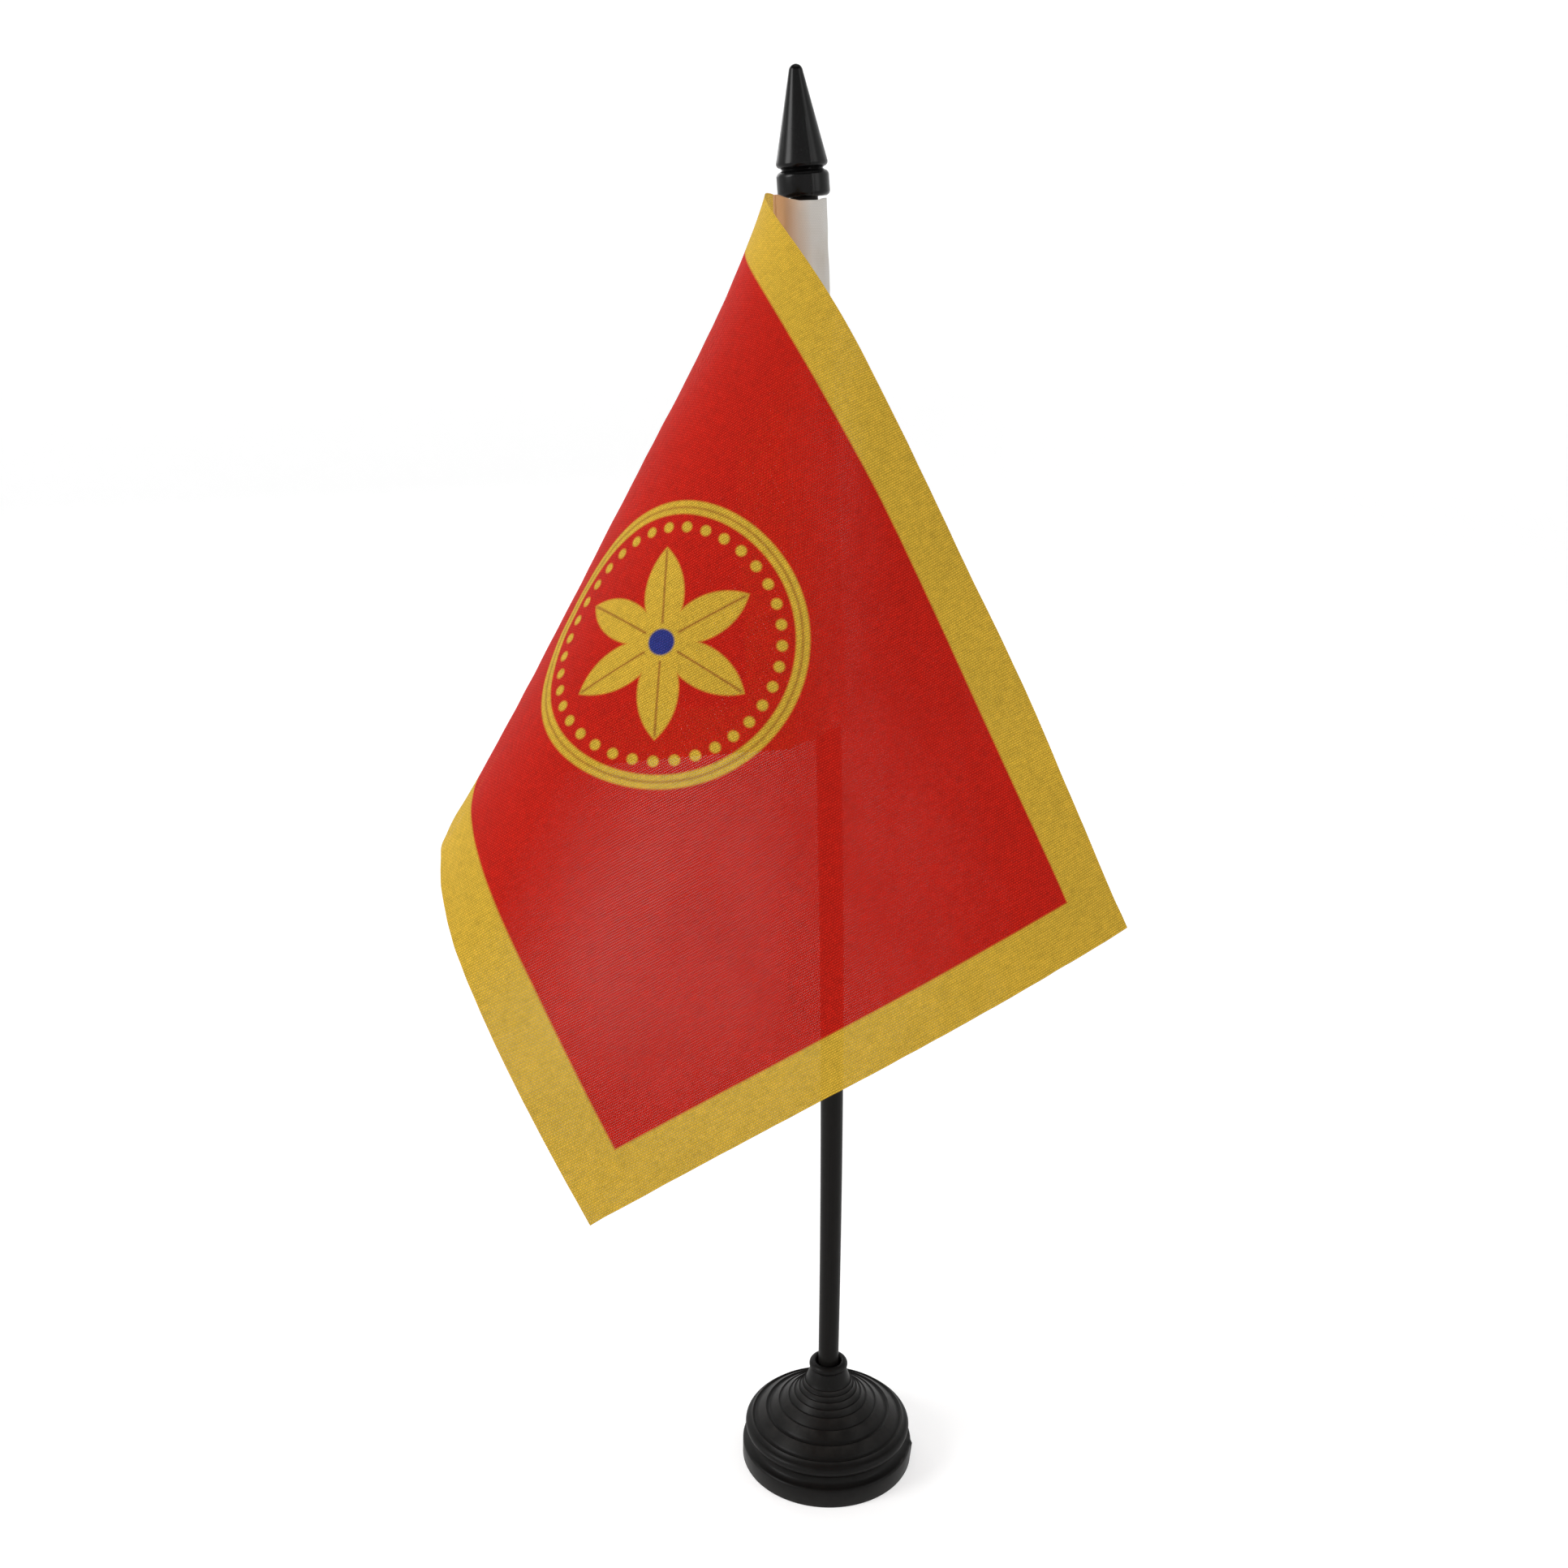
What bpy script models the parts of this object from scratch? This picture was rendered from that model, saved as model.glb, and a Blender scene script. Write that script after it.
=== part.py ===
"""Desk flag stand: a stepped round base, a thin bowed stick with a cone finial, and a flag on a hoist sleeve.

Metres, +Z up. The base's underside lies on Z = 0 and the flag hangs forwards, towards -Y.
"""

import math

import bmesh
import bpy
from mathutils import Vector

MM = 0.001

# Base, radii and heights in millimetres
BASE_RADIUS = 18.7
PLINTH_TOP = 4.5
SHOULDER_RADIUS = 18.1
SHOULDER_HEIGHT = 8.2
HUB_TOP = 25.0
HUB_RIM_RADIUS = 4.3
SOCKET_FLOOR = 7.0
BOSS_RADIUS = 5.0
SHELL_INNER_RADIUS = 16.6
BASE_SEGMENTS = 56

# Stick, millimetres
STICK_RADIUS_FOOT = 2.2
STICK_RADIUS = 2.5
STICK_FULL_HEIGHT = 150.0
STICK_BOW = 9.4
BOW_HEIGHT = 270.0
BOW_POWER = 2.5
STICK_RINGS = 44
STICK_SEGMENTS = 20
FIT_GAP = 0.3

# Finial, millimetres above its own underside
COLLAR_BOTTOM = 267.5
COLLAR_RADIUS = 4.7
COLLAR_HEIGHT = 4.5
CONE_RADIUS = 4.6
CONE_BOTTOM = 5.0
FINIAL_HEIGHT = 22.2
TIP_RADIUS = 1.25
FINIAL_BORE_DEPTH = 9.0
FINIAL_SEGMENTS = 40

# Hoist sleeve and its swivel axis, millimetres
SLEEVE_TOP = 266.0
SLEEVE_BOTTOM = 170.5
SLEEVE_RADIUS = 4.0
SLEEVE_THICKNESS = 0.4
SLEEVE_LEVELS = 24
SEAM_THREAD_RADIUS = 0.2

# Flag, millimetres: the cut sheet is 150 wide and 100 high.
# Each row is one station from the hoist to the fly, and runs from the top edge to the bottom edge.
FLAG_THICKNESS = 0.4
FLAG_NET = [
    [(-13.5, -11, 268), (-12, -13, 237), (-9, -16, 204), (-7.5, -19, 170.5)],
    [(-16, -25, 269.5), (-33, -11, 238), (-18, -13, 201), (-19, -26, 171)],
    [(0, -49, 257), (-38, -61, 249), (-60, -19, 205), (-44, -30, 170)],
    [(17, -50, 223), (0, -75, 211), (-45, -84, 204), (-66, -67, 172)],
    [(36, -54, 189), (5, -67, 178), (-14, -87, 164), (-46, -102, 154)],
    [(46, -57, 166), (24, -79, 158), (-7, -90, 144), (-35, -101, 130)],
    [(52, -59, 155), (28, -80, 146), (-1, -90, 133), (-29, -102, 119)],
]
FLAG_CELLS_WIDE = 36
FLAG_CELLS_HIGH = 24
SEAM_GAP = 0.35


def clear_scene():
    for obj in list(bpy.data.objects):
        bpy.data.objects.remove(obj)


def make_material(name, colour, roughness):
    material = bpy.data.materials.new(name)
    material.use_nodes = True
    shader = material.node_tree.nodes["Principled BSDF"]
    shader.inputs["Base Color"].default_value = (*colour, 1.0)
    shader.inputs["Roughness"].default_value = roughness
    shader.inputs["Metallic"].default_value = 0.0
    return material


def make_object(name, bm, material, origin=(0.0, 0.0, 0.0), sharp_degrees=40.0):
    """Turns a bmesh in world millimetres into an object in metres, whose origin is the given point."""
    anchor = Vector(origin)
    for vert in bm.verts:
        vert.co = (vert.co - anchor) * MM
    bmesh.ops.recalc_face_normals(bm, faces=bm.faces)
    mesh = bpy.data.meshes.new(name)
    bm.to_mesh(mesh)
    bm.free()
    mesh.shade_smooth()
    mesh.set_sharp_from_angle(angle=math.radians(sharp_degrees))
    mesh.materials.append(material)
    obj = bpy.data.objects.new(name, mesh)
    obj.location = anchor * MM
    bpy.context.scene.collection.objects.link(obj)
    return obj


def arc(centre, radius, start, end, steps):
    """Points of an arc in a turned profile, angles in degrees from the outward direction."""
    points = []
    for i in range(steps + 1):
        angle = math.radians(start + (end - start) * i / steps)
        points.append((centre[0] + radius * math.cos(angle), centre[1] + radius * math.sin(angle)))
    return points


def turned(profile, segments):
    """A solid of revolution about Z from a profile of (radius, height) points that starts and ends on the axis."""
    bm = bmesh.new()
    verts = [bm.verts.new((r, 0.0, z)) for r, z in profile]
    edges = [bm.edges.new(pair) for pair in zip(verts, verts[1:])]
    bmesh.ops.spin(
        bm,
        geom=verts + edges,
        cent=(0, 0, 0),
        axis=(0, 0, 1),
        angle=math.tau,
        steps=segments,
        use_merge=True,
    )
    bmesh.ops.remove_doubles(bm, verts=bm.verts, dist=1e-4)
    return bm


def loft(rings):
    """A closed solid through rings of points, with flat ends."""
    bm = bmesh.new()
    loops = [[bm.verts.new(point) for point in ring] for ring in rings]
    for low, high in zip(loops, loops[1:]):
        for i in range(len(low)):
            j = (i + 1) % len(low)
            bm.faces.new((low[i], low[j], high[j], high[i]))
    bm.faces.new(list(reversed(loops[0])))
    bm.faces.new(loops[-1])
    return bm


def stick_offset(z):
    """How far the stick's axis leans towards -X at a height."""
    return -STICK_BOW * (max(z, 0.0) / BOW_HEIGHT) ** BOW_POWER


def stick_lean(z):
    """The stick's lean at a height, in radians from the vertical, towards -X."""
    slope = STICK_BOW * BOW_POWER / BOW_HEIGHT * (z / BOW_HEIGHT) ** (BOW_POWER - 1)
    return math.atan(slope)


def bumpy_flare():
    """The bell of the base from the shoulder up to the hub, with its turned grooves."""
    rings = [
        (16.0, 10.2, 0.45),
        (13.0, 12.0, 0.50),
        (10.5, 13.7, 0.25),
        (8.4, 15.2, 0.22),
        (7.2, 16.3, 0.20),
        (6.2, 17.4, 0.18),
        (5.5, 18.4, 0.16),
        (5.0, 19.4, 0.14),
    ]
    points = []
    for radius, height, depth in rings:
        points.append((radius + 2.0 * depth, height - 0.3 * depth))
        points.append((radius + 0.6 * depth, height - 1.1 * depth))
        points.append((radius - 0.4 * depth, height - 0.8 * depth))
        points.append((radius - 1.2 * depth, height + 1.0 * depth))
    return points


def make_base(material):
    plinth_corner = arc((BASE_RADIUS - 0.7, PLINTH_TOP - 0.7), 0.7, 0, 80, 4)
    cove = [(17.3, 4.9), (16.9, 5.8), (17.0, 6.7)]
    shoulder = arc((SHOULDER_RADIUS - 1.2, SHOULDER_HEIGHT), 1.2, -60, 75, 7)
    hub_rim = arc((HUB_RIM_RADIUS - 0.6, HUB_TOP - 0.6), 0.6, -70, 120, 9)
    profile = [(0.0, 0.0), (BOSS_RADIUS, 0.0), (BOSS_RADIUS, 13.6), (6.2, 14.2), (7.0, 13.8)]
    profile += [(10.0, 11.4), (15.2, 7.4), (SHELL_INNER_RADIUS - 1.2, 5.5), (SHELL_INNER_RADIUS, 3.6)]
    profile += [(SHELL_INNER_RADIUS, 0.0), (BASE_RADIUS - 0.3, 0.0), (BASE_RADIUS, 0.3)]
    profile += plinth_corner + cove + shoulder + bumpy_flare()
    profile += [(4.4, 20.8), (4.1, 22.2), (3.9, 23.4)]
    profile += hub_rim
    profile += [(2.9, 24.3), (STICK_RADIUS_FOOT + FIT_GAP, 22.8)]
    profile += [(STICK_RADIUS_FOOT + FIT_GAP, SOCKET_FLOOR), (0.0, SOCKET_FLOOR)]
    return make_object("base", turned(profile, BASE_SEGMENTS), material)


def make_stick(material):
    foot = SOCKET_FLOOR + FIT_GAP
    head = COLLAR_BOTTOM + FINIAL_BORE_DEPTH - 0.6
    rings = []
    for i in range(STICK_RINGS + 1):
        z = foot + (head - foot) * i / STICK_RINGS
        widening = min(max(z - HUB_TOP, 0.0) / (STICK_FULL_HEIGHT - HUB_TOP), 1.0)
        radius = STICK_RADIUS_FOOT + (STICK_RADIUS - STICK_RADIUS_FOOT) * widening
        lean = stick_lean(z)
        ring = []
        for k in range(STICK_SEGMENTS):
            angle = math.tau * k / STICK_SEGMENTS
            across = radius * math.cos(angle)
            ring.append(
                (
                    stick_offset(z) + across * math.cos(lean),
                    radius * math.sin(angle),
                    z + across * math.sin(lean),
                )
            )
        rings.append(ring)
    return make_object("stick", loft(rings), material)


def make_finial(material):
    """A cone on a collar, turned about its own axis and leant over with the stick's top end."""
    collar = arc((COLLAR_RADIUS - 0.9, 0.9), 0.9, -80, 0, 5)
    collar += arc((COLLAR_RADIUS - 1.0, COLLAR_HEIGHT - 1.0), 1.0, 0, 75, 5)
    neck = [(3.7, 4.75)]
    cone_foot = arc((CONE_RADIUS - 0.8, CONE_BOTTOM + 0.8), 0.8, -80, 8, 5)
    tip = arc((0.0, FINIAL_HEIGHT - TIP_RADIUS), TIP_RADIUS, 8, 90, 6)
    tip[-1] = (0.0, FINIAL_HEIGHT)
    bore = STICK_RADIUS + FIT_GAP
    profile = [(0.0, FINIAL_BORE_DEPTH), (bore, FINIAL_BORE_DEPTH), (bore, 0.0)]
    profile += collar + neck + cone_foot + tip
    finial = make_object("finial", turned(profile, FINIAL_SEGMENTS), material)
    finial.location = Vector((stick_offset(COLLAR_BOTTOM), 0.0, COLLAR_BOTTOM)) * MM
    finial.rotation_euler = (0.0, -stick_lean(COLLAR_BOTTOM), 0.0)
    return finial


def blend_weights(count, u):
    """Weights of the control points of a clamped cubic spline, by the Cox and de Boor rule."""
    degree = 3
    inner = count - degree
    knots = [0.0] * degree + [i / inner for i in range(inner + 1)] + [1.0] * degree
    u = min(max(u, 0.0), 1.0 - 1e-9)
    weights = [1.0 if knots[i] <= u < knots[i + 1] else 0.0 for i in range(len(knots) - 1)]
    for order in range(1, degree + 1):
        for i in range(len(knots) - 1 - order):
            left_span = knots[i + order] - knots[i]
            right_span = knots[i + order + 1] - knots[i + 1]
            left = (u - knots[i]) / left_span * weights[i] if left_span else 0.0
            right = (knots[i + order + 1] - u) / right_span * weights[i + 1] if right_span else 0.0
            weights[i] = left + right
    return weights[:count]


def flag_point(u, v):
    """A point of the flag's middle surface: u from hoist to fly, v from top to bottom, both 0 to 1."""
    along = blend_weights(len(FLAG_NET), u)
    down = blend_weights(len(FLAG_NET[0]), v)
    point = Vector((0.0, 0.0, 0.0))
    for a, row in zip(along, FLAG_NET):
        for b, control in zip(down, row):
            point += a * b * Vector(control)
    return point


def flag_normal(u, v):
    step = 0.01
    across = flag_point(min(u + step, 1.0), v) - flag_point(max(u - step, 0.0), v)
    down = flag_point(u, min(v + step, 1.0)) - flag_point(u, max(v - step, 0.0))
    return across.cross(down).normalized()


def make_flag(material, origin):
    """The sheet as a thin closed solid: two faces half a thickness from the middle surface, and a rim."""
    bm = bmesh.new()
    sides = []
    for side in (0.5, -0.5):
        grid = []
        for i in range(FLAG_CELLS_WIDE + 1):
            u = i / FLAG_CELLS_WIDE
            column = []
            for j in range(FLAG_CELLS_HIGH + 1):
                v = j / FLAG_CELLS_HIGH
                point = flag_point(u, v) + flag_normal(u, v) * (side * FLAG_THICKNESS)
                column.append(bm.verts.new(point))
            grid.append(column)
        sides.append(grid)
    for grid in sides:
        for i in range(FLAG_CELLS_WIDE):
            for j in range(FLAG_CELLS_HIGH):
                bm.faces.new((grid[i][j], grid[i + 1][j], grid[i + 1][j + 1], grid[i][j + 1]))
    front, back = sides
    top = [(i, 0) for i in range(FLAG_CELLS_WIDE + 1)]
    fly = [(FLAG_CELLS_WIDE, j) for j in range(1, FLAG_CELLS_HIGH + 1)]
    bottom = [(i, FLAG_CELLS_HIGH) for i in range(FLAG_CELLS_WIDE - 1, -1, -1)]
    hoist = [(0, j) for j in range(FLAG_CELLS_HIGH - 1, -1, -1)]
    rim = top + fly + bottom + hoist
    for (i, j), (k, m) in zip(rim, rim[1:]):
        bm.faces.new((front[i][j], front[k][m], back[k][m], back[i][j]))
    return make_object("flag", bm, material, origin, 60.0)


def swivel_axis_point(z):
    """The straight line that the sleeve turns about: the chord of the bowed stick inside it."""
    low = stick_offset(SLEEVE_BOTTOM)
    high = stick_offset(SLEEVE_TOP)
    part = (z - SLEEVE_BOTTOM) / (SLEEVE_TOP - SLEEVE_BOTTOM)
    return Vector((low + (high - low) * part, 0.0, z))


def sleeve_loop(down, radius, end_gap, end_half_width):
    """One level of the sleeve: round the stick, then straight to the seam."""
    seam = flag_point(0.0, down)
    centre = swivel_axis_point(SLEEVE_TOP + (SLEEVE_BOTTOM - SLEEVE_TOP) * down)
    reach = Vector((seam.x - centre.x, seam.y - centre.y, 0.0))
    length = reach.length - end_gap
    forward = reach.normalized()
    side = Vector((-forward.y, forward.x, 0.0))
    tangent = math.degrees(math.acos(radius / length))
    flat = [(length, -end_half_width)]
    round_part = arc((0.0, 0.0), radius, -tangent, -360 + tangent, 22)
    end = [(length, end_half_width)]
    points = []
    for along, across in flat + round_part + end:
        rise = (seam.z - centre.z) * min(max((along - 5.5) / (length - 5.5), 0.0), 1.0)
        points.append(centre + forward * along + side * across + Vector((0.0, 0.0, rise)))
    return points


def make_sleeve(material, origin):
    """The hoist sleeve: a strip of cloth folded round the stick and closed along the seam."""
    bm = bmesh.new()
    walls = []
    for inset, end_gap, half_width in ((0.0, SEAM_GAP, 0.45), (SLEEVE_THICKNESS, 2.2, 0.08)):
        levels = []
        for level in range(SLEEVE_LEVELS + 1):
            loop = sleeve_loop(level / SLEEVE_LEVELS, SLEEVE_RADIUS - inset, end_gap, half_width)
            levels.append([bm.verts.new(point) for point in loop])
        walls.append(levels)
    outer, inner = walls
    count = len(outer[0])
    for levels in walls:
        for low, high in zip(levels, levels[1:]):
            for i in range(count):
                j = (i + 1) % count
                bm.faces.new((low[i], low[j], high[j], high[i]))
    for level in (0, SLEEVE_LEVELS):
        for i in range(count):
            j = (i + 1) % count
            bm.faces.new((outer[level][i], outer[level][j], inner[level][j], inner[level][i]))
    return make_object("sleeve", bm, material, origin, 50.0)


def make_seam_thread(material, origin):
    """The lockstitch that closes the sleeve, as one thin thread beside the seam."""
    rings = []
    steps = 40
    for i in range(steps + 1):
        down = 0.02 + 0.96 * i / steps
        seam = flag_point(0.0, down)
        centre = swivel_axis_point(SLEEVE_TOP + (SLEEVE_BOTTOM - SLEEVE_TOP) * down)
        forward = Vector((seam.x - centre.x, seam.y - centre.y, 0.0)).normalized()
        side = Vector((-forward.y, forward.x, 0.0))
        middle = seam - forward * 1.2 - side * 1.35
        ring = []
        for k in range(8):
            angle = math.tau * k / 8
            ring.append(
                middle
                + forward * (SEAM_THREAD_RADIUS * math.cos(angle))
                + side * (SEAM_THREAD_RADIUS * math.sin(angle))
            )
        rings.append(ring)
    return make_object("seam_thread", loft(rings), material, origin)


def build():
    clear_scene()
    black = make_material("black_plastic", (0.012, 0.012, 0.013), 0.35)
    stick_black = make_material("stick_plastic", (0.013, 0.012, 0.011), 0.42)
    finial_black = make_material("finial_plastic", (0.010, 0.010, 0.011), 0.22)
    red = make_material("flag_cloth", (0.52, 0.03, 0.02), 0.85)
    white = make_material("sleeve_cloth", (0.80, 0.78, 0.72), 0.9)
    thread = make_material("thread", (0.85, 0.83, 0.78), 0.8)
    make_base(black)
    make_stick(stick_black)
    make_finial(finial_black)
    swivel = swivel_axis_point(SLEEVE_BOTTOM)
    make_flag(red, swivel)
    make_sleeve(white, swivel)
    make_seam_thread(thread, swivel)


build()
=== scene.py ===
"""Looks of the desk flag stand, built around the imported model: turned plastic, printed cloth and stitches.

Shapes are worked out in millimetres, in the model's own frame, and turned into metres as each piece is made.
The flag hangs forwards, towards -Y. Positions on its cloth are (u, v): hoist to fly and top to bottom.
"""

import math

import bmesh
import bpy
import numpy as np
from mathutils import Matrix, Vector, noise


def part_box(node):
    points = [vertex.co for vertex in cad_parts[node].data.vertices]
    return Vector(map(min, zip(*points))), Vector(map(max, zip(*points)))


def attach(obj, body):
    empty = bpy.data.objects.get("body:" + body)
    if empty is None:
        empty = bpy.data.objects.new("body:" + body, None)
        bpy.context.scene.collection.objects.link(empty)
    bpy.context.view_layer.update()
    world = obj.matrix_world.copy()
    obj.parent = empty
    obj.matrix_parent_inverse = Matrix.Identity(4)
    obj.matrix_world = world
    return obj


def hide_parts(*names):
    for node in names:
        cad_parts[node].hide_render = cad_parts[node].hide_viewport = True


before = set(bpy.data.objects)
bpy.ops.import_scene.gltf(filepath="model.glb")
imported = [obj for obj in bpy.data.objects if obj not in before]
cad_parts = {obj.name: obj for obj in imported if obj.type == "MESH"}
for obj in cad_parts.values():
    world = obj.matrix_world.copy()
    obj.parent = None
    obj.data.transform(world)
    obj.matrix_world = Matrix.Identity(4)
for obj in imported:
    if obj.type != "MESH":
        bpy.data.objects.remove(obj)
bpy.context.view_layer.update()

MM = 0.001

# Base and its hub
BASE_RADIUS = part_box("base")[1].x / MM
PLINTH_TOP = 4.5
SHOULDER_RADIUS = BASE_RADIUS - 0.6
SHOULDER_HEIGHT = 8.2
HUB_TOP = 25.0
HUB_RIM_RADIUS = 4.3
SOCKET_FLOOR = 7.0
SOCKET_RADIUS = 2.5
BOSS_RADIUS = 5.0
SHELL_INNER_RADIUS = 16.6
BASE_SEGMENTS = 224
GROOVE_SOFTNESS = 0.65

# Stick: its axis bows towards -X as it rises
STICK_RADIUS_FOOT = 2.2
STICK_RADIUS = 2.5
STICK_FULL_HEIGHT = 150.0
STICK_BOW = 9.4
BOW_HEIGHT = 270.0
BOW_POWER = 2.5
STICK_RINGS = 180
STICK_SEGMENTS = 56

# Finial, heights above its own underside
COLLAR_BOTTOM = 267.5
COLLAR_RADIUS = 4.7
COLLAR_HEIGHT = 4.5
CONE_RADIUS = 4.6
CONE_BOTTOM = 5.0
FINIAL_HEIGHT = 22.2
TIP_RADIUS = 1.25
FINIAL_BORE_DEPTH = 9.0
FINIAL_SEGMENTS = 256
PARTING_ANGLE = math.radians(-64)
PARTING_HEIGHT = 0.09
PARTING_WIDTH = 0.15

# Flag: the cut sheet, its printed border and its surface's control points, hoist to fly
FLAG_WIDTH = 150.0
FLAG_HEIGHT = 100.0
FLAG_THICKNESS = 0.12
BORDER = 8.7
FLAG_NET = [
    [(-13.5, -11, 268), (-12, -13, 237), (-9, -16, 204), (-7.5, -19, 170.5)],
    [(-16, -25, 269.5), (-33, -11, 238), (-18, -13, 201), (-19, -26, 171)],
    [(0, -49, 257), (-38, -61, 249), (-60, -19, 205), (-44, -30, 170)],
    [(17, -50, 223), (0, -75, 211), (-45, -84, 204), (-66, -67, 172)],
    [(36, -54, 189), (5, -67, 178), (-14, -87, 164), (-46, -102, 154)],
    [(46, -57, 166), (24, -79, 158), (-7, -90, 144), (-35, -101, 130)],
    [(52, -59, 155), (28, -80, 146), (-1, -90, 133), (-29, -102, 119)],
]
FLAG_CELLS_WIDE = 180
FLAG_CELLS_HIGH = 120
RIB_PITCH = 0.364
WEFT_PITCH = 0.254

# Hoist sleeve
SLEEVE_TOP = 266.0
SLEEVE_BOTTOM = 170.5
SLEEVE_RADIUS = 4.0
SLEEVE_THICKNESS = 0.28
SLEEVE_LEVELS = 150
SLEEVE_SEAM_GAP = 0.35
SLEEVE_END_SHARE = 0.12
SLEEVE_WIDTH_LEVEL = 60
STITCH_LENGTH = 2.3
THREAD_RADIUS = 0.16


# ---------------------------------------------------------------- shapes


def arc(centre, radius, start, end, steps):
    """Points of an arc in a turned profile, angles in degrees from the outward direction."""
    points = []
    for i in range(steps + 1):
        angle = math.radians(start + (end - start) * i / steps)
        points.append((centre[0] + radius * math.cos(angle), centre[1] + radius * math.sin(angle)))
    return points


def turned(profile, segments):
    """A shape turned about Z from (radius, height) points. It is closed if they end on the axis too."""
    bm = bmesh.new()
    verts = [bm.verts.new((r, 0.0, z)) for r, z in profile]
    edges = [bm.edges.new(pair) for pair in zip(verts, verts[1:])]
    bmesh.ops.spin(
        bm,
        geom=verts + edges,
        cent=(0, 0, 0),
        axis=(0, 0, 1),
        angle=math.tau,
        steps=segments,
        use_merge=True,
    )
    bmesh.ops.remove_doubles(bm, verts=bm.verts, dist=1e-4)
    return bm


def raise_parting_lines(bm, inner_radius):
    """Two fine ridges up opposite sides of a turned moulding, where the halves of its mould met."""
    for vert in bm.verts:
        radius = math.hypot(vert.co.x, vert.co.y)
        if radius < inner_radius:
            continue
        angle = math.atan2(vert.co.y, vert.co.x) - PARTING_ANGLE
        away = math.remainder(angle, math.pi) * radius
        ridge = PARTING_HEIGHT * math.exp(-((away / PARTING_WIDTH) ** 2))
        vert.co.x *= 1.0 + ridge / radius
        vert.co.y *= 1.0 + ridge / radius


def make_piece(name, mesh, materials, body, sharp_degrees=40.0):
    """Links a mesh given in millimetres as a finished piece that rides on a CAD body."""
    mesh.transform(Matrix.Scale(MM, 4))
    mesh.shade_smooth()
    mesh.set_sharp_from_angle(angle=math.radians(sharp_degrees))
    for material in materials:
        mesh.materials.append(material)
    obj = bpy.data.objects.new(name, mesh)
    bpy.context.scene.collection.objects.link(obj)
    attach(obj, body)
    return obj


def mesh_from(bm, name):
    bmesh.ops.recalc_face_normals(bm, faces=bm.faces)
    mesh = bpy.data.meshes.new(name)
    bm.to_mesh(mesh)
    bm.free()
    return mesh


def tube(bm, points, radii, sides):
    """Adds a round tube with closed ends along the points."""
    loops = []
    for i, point in enumerate(points):
        ahead = points[min(i + 1, len(points) - 1)] - points[max(i - 1, 0)]
        ahead.normalize()
        across = ahead.orthogonal().normalized()
        other = ahead.cross(across)
        loop = []
        for k in range(sides):
            angle = math.tau * k / sides
            loop.append(bm.verts.new(point + (across * math.cos(angle) + other * math.sin(angle)) * radii[i]))
        loops.append(loop)
    for low, high in zip(loops, loops[1:]):
        turn = nearest_turn(low, high)
        for k in range(sides):
            j = (k + 1) % sides
            bm.faces.new((low[k], low[j], high[(j + turn) % sides], high[(k + turn) % sides]))
    bm.faces.new(list(reversed(loops[0])))
    bm.faces.new(loops[-1])


def nearest_turn(low, high):
    """How many steps to turn one ring by, so that the tube between two rings isn't twisted."""
    count = len(low)
    gaps = []
    for turn in range(count):
        gaps.append(sum((low[k].co - high[(k + turn) % count].co).length for k in range(count)))
    return gaps.index(min(gaps))


# ---------------------------------------------------------------- materials


def linear(red, green, blue):
    """A colour from 0 to 255 on the screen's scale, as linear light with alpha."""
    channels = []
    for value in (red, green, blue):
        value /= 255.0
        channels.append(value / 12.92 if value <= 0.04045 else ((value + 0.055) / 1.055) ** 2.4)
    return (*channels, 1.0)


def tone(colour, share):
    """The same colour, lighter or darker."""
    return tuple(share * channel for channel in colour[:3]) + (1.0,)


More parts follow.
